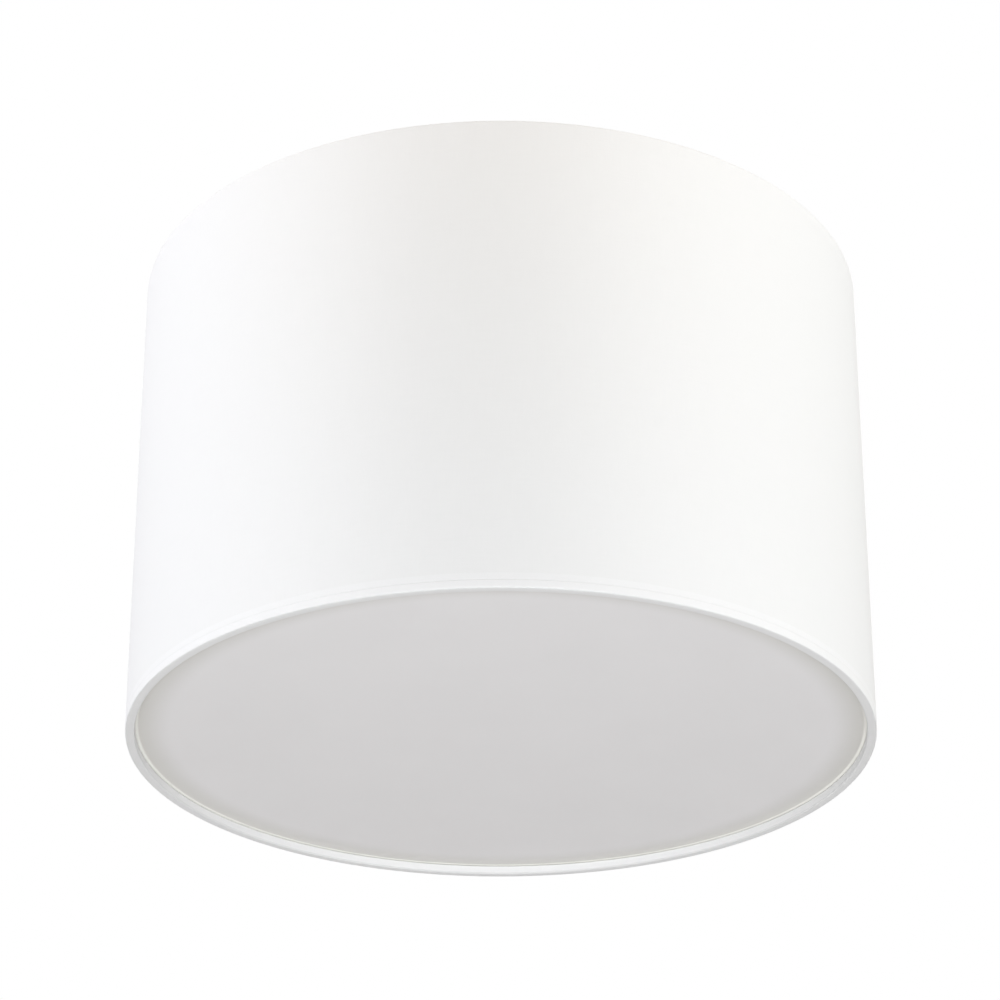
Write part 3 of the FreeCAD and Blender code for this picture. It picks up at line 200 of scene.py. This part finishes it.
brass = Finish("drawn_brass", Metallic=1.0)
drawn = brass.noise(1, 3, 0.6, brass.stretched(2400, 220, 2400))
dull = brass.noise(90, 3)
brass_tone = brass.tint(dull.step(0.3, 0.75), (0.70, 0.52, 0.24), (0.82, 0.66, 0.36))
brass.surface(Base_Color=brass_tone, Roughness=0.24 + 0.2 * dull)
brass.relief(drawn, 0.00002, 0.4)
brass.coat("terminal_tubes", *pair("centre_contact"))

plated_screw = Finish("plated_screw", Metallic=1.0)
wear = plated_screw.noise(400, 3)
screw_tone = plated_screw.tint(wear, (0.62, 0.61, 0.58), (0.74, 0.73, 0.70))
plated_screw.surface(Base_Color=screw_tone, Roughness=0.25 + 0.2 * wear)
plated_screw.relief(wear, 0.00002, 0.4)
plated_screw.coat("terminal_clamp_screws", "terminal_fixing_screw")
plated_screw.coat("earth_screw", "earth_nut", "earth_washer")


# Earth lug and leads: a tinned copper ring lug, and leads extruded with smooth PVC round
# them in the usual colours: brown for live, blue for neutral, green and yellow for earth.
tinned = Finish("tinned_copper", Metallic=1.0)
tin_bloom = tinned.noise(220, 3)
tin_tone = tinned.tint(tin_bloom, (0.62, 0.61, 0.59), (0.76, 0.75, 0.72))
tinned.surface(Base_Color=tin_tone, Roughness=0.32 + 0.2 * tin_bloom)
tinned.relief(tin_bloom, 0.00003, 0.4)
tinned.coat("earth_lug")


def insulation(name, dark, light):
    finish = Finish(name, Coat_Weight=0.1)
    chalk = finish.noise(500, 2)
    finish.surface(Base_Color=finish.tint(chalk, dark, light), Roughness=0.38 + 0.14 * chalk)
    finish.relief(chalk, 0.00004, 0.4)
    return finish


insulation("brown_insulation", (0.12, 0.045, 0.018), (0.16, 0.065, 0.028)).coat(*pair("live_wire"))
insulation("blue_insulation", (0.010, 0.055, 0.32), (0.016, 0.075, 0.38)).coat(*pair("neutral_wire"))

striped = Finish("green_yellow_insulation", Coat_Weight=0.1)
skin = striped.noise(500, 2)
twist = ((striped.x + striped.y + striped.z * 5) * 480).sine()
stripe_tone = striped.tint(twist.step(0.15, 0.3), (0.03, 0.26, 0.03), (0.72, 0.62, 0.02))
striped.surface(Base_Color=stripe_tone, Roughness=0.38 + 0.14 * skin)
striped.relief(skin, 0.00004, 0.4)
striped.coat("earth_wire")


# Lampholders: a cap and a skirt moulded in glossy thermoplastic, a ceramic core inside, a
# screw shell drawn from nickel plated brass sheet, and the hollow threaded nipple with its
# nut that holds each one to the pan.
resin = Finish("glossy_thermoplastic", Coat_Weight=0.3, Coat_Roughness=0.08)
sink = resin.noise(60, 2)
haze = resin.noise(700, 2)
resin_tone = resin.tint(sink, (0.82, 0.82, 0.79), (0.86, 0.86, 0.84))
resin.surface(Base_Color=resin_tone, Roughness=0.22 + 0.1 * haze)
resin.relief(sink * 0.7 + haze * 0.3, 0.00008, 0.4)
resin.coat(*pair("lampholder_cap", "lampholder_skirt"))

fired = Finish("fired_ceramic")
body_grain = fired.noise(800, 4, 0.7)
fleck = fired.noise(260, 1).step(0.70, 0.76)
fired_tone = fired.tint(fleck * 0.4, (0.80, 0.78, 0.72), (0.42, 0.36, 0.29))
fired.surface(Base_Color=fired_tone, Roughness=0.55 + 0.2 * body_grain)
fired.relief(body_grain, 0.00008, 0.6)
fired.coat(*pair("lampholder_core"))

shell = Finish("drawn_nickel_shell", Metallic=1.0)
stretch_marks = shell.noise(1, 3, 0.6, shell.stretched(1800, 1800, 90))
rub = shell.noise(130, 3)
shell_tone = shell.tint(rub, (0.66, 0.65, 0.62), (0.80, 0.79, 0.77))
shell.surface(Base_Color=shell_tone, Roughness=0.2 + 0.18 * rub)
shell.relief(stretch_marks, 0.00002, 0.4)
shell.coat(*pair("screw_shell", "bulb_cap"))
zinc.coat(*pair("nipple", "nipple_nut"))


# Bulbs: an LED bulb in each holder, with a tinned tip, a black glass insulator, a nickel
# cap, a satin plastic housing, a white board and a frosted dome.
tip = Finish("tinned_tip", Metallic=1.0)
solder = tip.noise(350, 3)
tip_tone = tip.tint(solder, (0.58, 0.57, 0.55), (0.72, 0.71, 0.69))
tip.surface(Base_Color=tip_tone, Roughness=0.3 + 0.2 * solder)
tip.relief(solder, 0.00008, 0.5)
tip.coat(*pair("bulb_tip"))

glass = Finish("black_glass", Coat_Weight=0.6, Coat_Roughness=0.04)
ripple = glass.noise(180, 2)
glass_tone = glass.tint(ripple, (0.012, 0.012, 0.016), (0.03, 0.03, 0.034))
glass.surface(Base_Color=glass_tone, Roughness=0.1 + 0.08 * ripple)
glass.relief(ripple, 0.00006, 0.4)
glass.coat(*pair("bulb_insulator"))

satin = Finish("satin_housing", Subsurface_Weight=0.1, Subsurface_Scale=0.002)
spark = satin.noise(1100, 2)
blush = satin.noise(50, 2)
satin_tone = satin.tint(blush, (0.83, 0.83, 0.82), (0.87, 0.87, 0.86))
satin.surface(Base_Color=satin_tone, Roughness=0.4 + 0.14 * spark)
satin.relief(spark, 0.00005, 0.5)
satin.coat(*pair("bulb_housing"))

mask = Finish("white_solder_mask", Coat_Weight=0.2)
laminate = mask.noise(500, 2)
mask_tone = mask.tint(laminate, (0.80, 0.81, 0.80), (0.86, 0.87, 0.86))
mask.surface(Base_Color=mask_tone, Roughness=0.35 + 0.1 * laminate)
mask.relief(laminate, 0.00004, 0.4)
mask.coat(*pair("bulb_led_board"))

frosted = Finish("frosted_dome", Subsurface_Weight=0.35, Subsurface_Scale=0.006)
frost = frosted.noise(1500, 2)
milk = frosted.noise(35, 2)
frosted_tone = frosted.tint(milk, (0.86, 0.86, 0.84), (0.89, 0.89, 0.88))
frosted.surface(Base_Color=frosted_tone, Roughness=0.46 + 0.12 * frost)
frosted.relief(frost, 0.00004, 0.5)
frosted.coat(*pair("bulb_globe"))


# Shade frame: two rings of 3 mm steel wire, three bent spokes and the punched keyhole ring
# that they are welded under. All of it is dipped in white lacquer after welding.
lacquer = Finish("white_frame_lacquer", Coat_Weight=0.3, Coat_Roughness=0.15)
runs = lacquer.noise(1, 3, 0.5, lacquer.stretched(140, 140, 50))
pits = lacquer.noise(900, 2)
lacquer_tone = lacquer.tint(runs, (0.80, 0.80, 0.78), (0.86, 0.86, 0.85))
lacquer.surface(Base_Color=lacquer_tone, Roughness=0.28 + 0.12 * runs)
lacquer.relief(runs * 0.7 + pits * 0.3, 0.00012, 0.5)
lacquer.coat("top_wire_ring", "bottom_wire_ring", "keyhole_ring", "frame_spokes")


# Lining: a sheet of white plastic film, bent to a tube behind the cloth and glued to it.
# Its ends meet at the back of the drum, and its inside is smooth and slightly glossy.
film = Finish("lining_film", Coat_Weight=0.1)
calender = film.noise(1, 2, 0.5, film.stretched(40, 40, 500))
at_joint = abs(film.x).step(0.0006, 0.0002)
at_back = film.y.step(0.0, 0.01)
joint_line = at_joint * at_back
plain_film = film.tint(calender, (0.83, 0.83, 0.80), (0.86, 0.86, 0.84))
film_tone = film.tint(joint_line * 0.5, plain_film, (0.5, 0.5, 0.47))
film.surface(Base_Color=film_tone, Roughness=0.36 + 0.12 * calender)
film.relief(calender - joint_line, 0.00006, 0.5)
film.coat("shade_lining")


# Shade cover: one strip of fine plain weave cotton, wrapped round the frame with its edges
# rolled over the two wire rings and glued inside. It is pulled smooth, and its ends lap
# over each other by 10 mm at the back.
drum_radius = 0.150
drum_top = -0.004
drum_bottom = -0.204
hem_radius = 0.0019
wire_line = drum_radius - hem_radius
top_wire = drum_top - hem_radius
bottom_wire = drum_bottom + hem_radius
wall = top_wire - bottom_wire
wall_shares = (0.01, 0.03, 0.25, 0.5, 0.75, 0.97, 0.99)
cloth_thick = 0.0004
hem_curl = math.radians(285)
hem_steps = 36
squareness = 6
sharp_fold = math.radians(50)
lap = 0.010
lap_turn = lap / drum_radius
lap_curl = math.radians(20)
back = math.pi / 2
spokes = (0, 120, 240)
notch_half = 1.4
notch_reach = wire_line + 0.0002
notch_floor = -0.01


def hem_bend(roll, curl):
    """A rolled hem from the wall inwards. Each point says how far it lies across and out
    from the wire, and how much cloth leads up to it. The fold presses the roll squarish."""
    points = [(roll, 0.0, 0.0)]
    for step in range(1, hem_steps + 1):
        angle = curl * step / hem_steps
        across, out = [roll * math.copysign(abs(part) ** (2 / squareness), part)
                       for part in (math.cos(angle), math.sin(angle))]
        points.append((across, out, points[-1][2] + math.dist(points[-1][:2], (across, out))))
    return points


def wrap_cloth(name, start, sweep, steps, curl, lift=0.0, notches=()):
    """A strip of cloth round the drum: its section is drawn once and spun about Z. The top
    hem is opened notch_half degrees to both sides of each notch's heading."""
    cloth = bmesh.new()
    along = cloth.verts.layers.float.new("along")
    roll = hem_radius + lift
    bend = hem_bend(roll, curl)
    section = [(across, -out, -run) for across, out, run in reversed(bend)]
    section += [(roll, share * wall, share * wall) for share in wall_shares]
    section += [(across, wall + out, wall + run) for across, out, run in bend]
    strand = []
    for across, up, run in section:
        strand.append(cloth.verts.new((wire_line + across, 0, bottom_wire + up)))
        strand[-1][along] = run
    strand += [cloth.edges.new(ends) for ends in zip(strand, strand[1:])]
    turn = Matrix.Rotation(start, 3, "Z")
    bmesh.ops.rotate(cloth, verts=cloth.verts[:], cent=(0, 0, 0), matrix=turn)
    bmesh.ops.spin(cloth, geom=strand, cent=(0, 0, 0), axis=(0, 0, 1), dvec=(0, 0, 0),
                   angle=sweep, steps=steps, use_merge=sweep > math.pi)
    bmesh.ops.remove_doubles(cloth, verts=cloth.verts[:], dist=0.00001)
    opened = []
    for face in cloth.faces:
        centre = face.calc_center_median()
        heading = math.degrees(math.atan2(centre.y, centre.x)) % 360
        on_hem = math.hypot(centre.x, centre.y) < notch_reach and centre.z > notch_floor
        if on_hem and any(abs((heading - notch + 180) % 360 - 180) < notch_half for notch in notches):
            opened.append(face)
    bmesh.ops.delete(cloth, geom=opened, context="FACES")
    bmesh.ops.recalc_face_normals(cloth, faces=cloth.faces[:])
    bmesh.ops.solidify(cloth, geom=cloth.faces[:], thickness=cloth_thick)
    mesh = bpy.data.meshes.new(name)
    cloth.to_mesh(mesh)
    cloth.free()
    mesh.shade_smooth()
    mesh.set_sharp_from_angle(angle=sharp_fold)
    piece = bpy.data.objects.new(name, mesh)
    bpy.context.scene.collection.objects.link(piece)
    return piece


# The spin starts half a degree off the front, so each notch takes three whole faces.
cover = wrap_cloth("fabric_cover", math.radians(-89.5), math.tau, 360, hem_curl, notches=spokes)
seam = wrap_cloth("fabric_lap", back, lap_turn, 8, lap_curl, lift=cloth_thick)
# The lap rises out of the cloth below it, so that only its free edge shows.
for corner in seam.data.vertices:
    free = (math.atan2(corner.co.y, corner.co.x) - back) / lap_turn
    corner.co.xy *= 1 - (1 - free) * cloth_thick / drum_radius

weave = Finish("plain_weave_cotton", Sheen_Weight=0.12, Sheen_Roughness=0.5, Specular_IOR_Level=0.25)
around = weave.x.math("ARCTAN2", weave.x, -1 * weave.y)
run = weave.node("Attribute", {"attribute_name": "along"}, {}, "Fac")
thread_pairs = 1700
doubled_height = 0.0041
crease_height = 0.0015
painted_underside_start = -0.0017
painted_underside_end = -0.0057
warp = around * thread_pairs
weft = run * (thread_pairs / drum_radius)
crossing = warp.sine() * weft.sine()
cloth_place = weave.join(around * drum_radius, run, 0)
slub_up = weave.noise(1, 2, 0.6, weave.stretched(1900, 90, 1, cloth_place))
slub_across = weave.noise(1, 2, 0.6, weave.stretched(70, 1900, 1, cloth_place))
doubled = run.step(doubled_height + 0.0002, doubled_height - 0.0002)
crease_dent_and_shade = abs(run - crease_height).step(0.00035, 0.0001)
yarn = weave.tint(0.5 * slub_up + 0.5 * slub_across, (0.905, 0.905, 0.905), (0.945, 0.945, 0.945))
folded = weave.tint(doubled * 0.6, yarn, (0.96, 0.96, 0.965))
# Painted shade: the crease line above the bottom hem is painted darker; the same mask also dents the
# bump.
painted_crease_shade_tone = weave.tint(crease_dent_and_shade * slub_across * 0.4, folded, (0.80, 0.80, 0.80))
# Painted shade: the underside of the bottom hem is painted darker.
painted_underside_rise = run.step(painted_underside_start + 0.0003, painted_underside_start - 0.0003)
painted_underside_fall = run.step(painted_underside_end - 0.0003, painted_underside_end + 0.0003)
cloth_tone = weave.tint(painted_underside_rise * painted_underside_fall, painted_crease_shade_tone, (0.80, 0.80, 0.80))
weave.surface(Base_Color=cloth_tone, Roughness=0.86 + 0.1 * slub_up)
threads = crossing * 0.35 + slub_up * 0.7 + slub_across * 0.7
weave.relief(threads - crease_dent_and_shade * 1.5, 0.00008, 0.55)
for piece in (cover, seam):
    piece.data.materials.append(weave.material)
    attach(piece, "shade")
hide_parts("shade_cover")
hem_wrap = hem_bend(hem_radius - cloth_thick / 2, hem_curl)[-1][2]
wall + 2 * hem_wrap


# Diffuser: a disc cut from 2 mm opal acrylic that lies loose on the bottom hem. The cast
# sheet is satin and very even, with the faintest ripple. Its outer ring is painted darker
# towards the hem as painted shade, and a painted highlight makes a pale line where it meets
# the hem and pales its cut edge.
painted_shade_start = 0.131
painted_shade_end = 0.147
painted_highlight_radius = 0.1451
opal = Finish("opal_acrylic", Specular_IOR_Level=0.4)
cast = opal.noise(24, 2)
bloom = opal.noise(1300, 2)
opal_tone = opal.tint(cast, (0.815, 0.802, 0.805), (0.845, 0.832, 0.835))
outwards = opal.join(opal.x, opal.y, 0)
from_axis = opal.node("VectorMath", {"operation": "LENGTH"}, {0: outwards}, "Value")
# Painted shade: the disc's outer ring is painted darker towards the hem.
painted_shade_tone = opal.tint(from_axis.step(painted_shade_start, painted_shade_end), opal_tone, (0.655, 0.645, 0.615))
# Painted highlight: a pale line where the disc meets the hem, which also pales the cut edge.
painted_highlight_mask = from_axis.step(painted_highlight_radius - 0.0005, painted_highlight_radius + 0.0005)
painted_highlight_tone = opal.tint(painted_highlight_mask, painted_shade_tone, (0.95, 0.945, 0.90))
opal.surface(Base_Color=painted_highlight_tone, Roughness=0.42 + 0.1 * bloom)
opal.relief(cast + bloom * 0.1, 0.00006, 0.4)
opal.coat("diffuser")


# Studio: a pale floor far below the light, and surroundings that are white to the camera
# and dim to the drum. Large soft lamps stand to both sides, before and behind it, a weak
# one lights the diffuser from below and a small strip lights the front near the top.
floor_radius = 9
floor_height = -2.2
floor_mesh = bmesh.new()
bmesh.ops.create_circle(floor_mesh, cap_ends=True, radius=floor_radius, segments=96)
bmesh.ops.translate(floor_mesh, verts=floor_mesh.verts[:], vec=(0, 0, floor_height))
floor_data = bpy.data.meshes.new("floor")
floor_mesh.to_mesh(floor_data)
floor_mesh.free()
floor = bpy.data.objects.new("floor", floor_data)
bpy.context.scene.collection.objects.link(floor)
pale = Finish("pale_floor")
dust = pale.noise(3, 3)
floor_tone = pale.tint(dust, (0.90, 0.90, 0.90), (0.93, 0.93, 0.93))
pale.surface(Base_Color=floor_tone, Roughness=0.7 + 0.1 * dust)
floor_data.materials.append(pale.material)

seen_strength = 1.0
cast_strength = 0.2
world = bpy.data.worlds.new("studio")
bpy.context.scene.world = world
world.use_nodes = True
surround = world.node_tree
backdrop = surround.nodes["Background"]
rays = surround.nodes.new("ShaderNodeLightPath")
seen = surround.nodes.new("ShaderNodeMath")
seen.operation = "MAXIMUM"
surround.links.new(rays.outputs["Is Camera Ray"], seen.inputs[0])
also = surround.nodes.new("ShaderNodeMath")
also.operation = "MAXIMUM"
surround.links.new(rays.outputs["Is Glossy Ray"], also.inputs[0])
surround.links.new(rays.outputs["Is Transmission Ray"], also.inputs[1])
surround.links.new(also.outputs[0], seen.inputs[1])
level = surround.nodes.new("ShaderNodeMapRange")
surround.links.new(seen.outputs[0], level.inputs["Value"])
level.inputs["To Min"].default_value = cast_strength
level.inputs["To Max"].default_value = seen_strength
surround.links.new(level.outputs[0], backdrop.inputs["Strength"])
backdrop.inputs["Color"].default_value = (1, 1, 1, 1)


drum_middle = Vector((0, 0, (drum_top + drum_bottom) / 2))


def soft_lamp(name, place, width, height, watts, colour):
    """A rectangle of light that faces the middle of the drum and isn't seen itself."""
    light = bpy.data.lights.new(name, "AREA")
    light.shape = "RECTANGLE"
    light.size = width
    light.size_y = height
    light.energy = watts
    light.color = colour
    lamp = bpy.data.objects.new(name, light)
    bpy.context.scene.collection.objects.link(lamp)
    lamp.location = place
    lamp.rotation_euler = (Vector(place) - drum_middle).to_track_quat("Z", "Y").to_euler()
    lamp.visible_camera = False


soft_lamp("left_box", (-1.9, 0.1, 0.9), 1.0, 1.0, 34.4, (0.965, 0.968, 1.000))
soft_lamp("right_box", (1.9, -0.1, 0.9), 1.0, 1.0, 29.7, (1.000, 0.999, 0.971))
soft_lamp("camera_box", (0, -1.9, -1.2), 0.6, 0.6, 26.6, (0.940, 0.971, 1.000))
soft_lamp("low_box", (0, -0.7, -2.0), 1.6, 1.2, 3.86, (1.000, 0.854, 0.713))
soft_lamp("top_strip", (0, -0.42, 0.16), 0.5, 0.05, 0.231, (1.000, 0.788, 0.545))
soft_lamp("back_box", (0, 2.2, 0.8), 1.0, 1.0, 14, (1, 1, 1))


# Camera: below and in front of the drum, with a long lens, as the photograph was taken.
reach = 1.418
rise = math.radians(26.087)
aim_height = -0.107
aim_up = math.radians(0.482)
aim_left = math.radians(0.013)
lean = math.radians(-0.06)
camera_data = bpy.data.cameras.new("camera")
camera_data.lens = 123.5
camera_data.sensor_width = 36
camera_data.clip_start = 0.05
camera_data.clip_end = 60
camera = bpy.data.objects.new("camera", camera_data)
bpy.context.scene.collection.objects.link(camera)
camera.location = (0, -reach * math.cos(rise), aim_height - reach * math.sin(rise))
camera.rotation_euler = (math.radians(90) + rise + aim_up, 0, aim_left)
camera.rotation_euler.rotate_axis("Z", lean)
bpy.context.scene.camera = camera
bpy.context.scene.view_settings.view_transform = "Standard"
